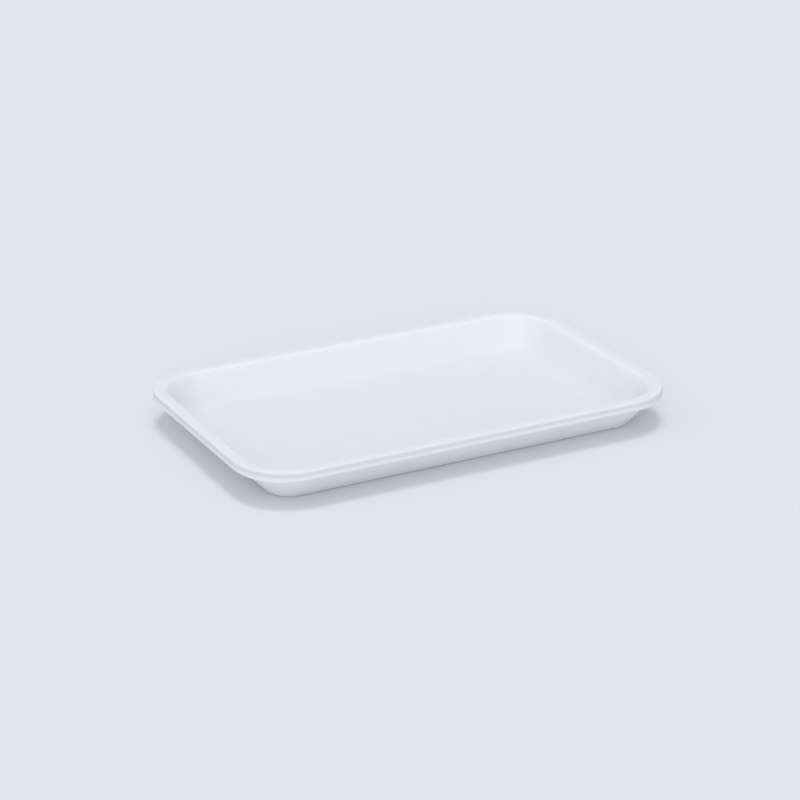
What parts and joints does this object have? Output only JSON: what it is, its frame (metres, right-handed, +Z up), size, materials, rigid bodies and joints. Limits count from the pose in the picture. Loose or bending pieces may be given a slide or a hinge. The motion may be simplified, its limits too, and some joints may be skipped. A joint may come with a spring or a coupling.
{
  "type": "foam meat tray",
  "caption": "Shallow white foam tray with rounded corners, a flat lip, sloping walls and a flat floor, for packing a cut of meat.",
  "frame": {"origin": "centre of the flat underside that the tray rests on", "axes": "+X along the tray's length, +Y across it, +Z up through the open side"},
  "size_m": [0.216, 0.14, 0.0185],
  "materials": {
    "foam": "white closed-cell polystyrene foam with a smooth satin skin and a finely cellular cut edge"
  },
  "bodies": {
    "root": {"foam_tray": "foam"}
  },
  "joints": []
}
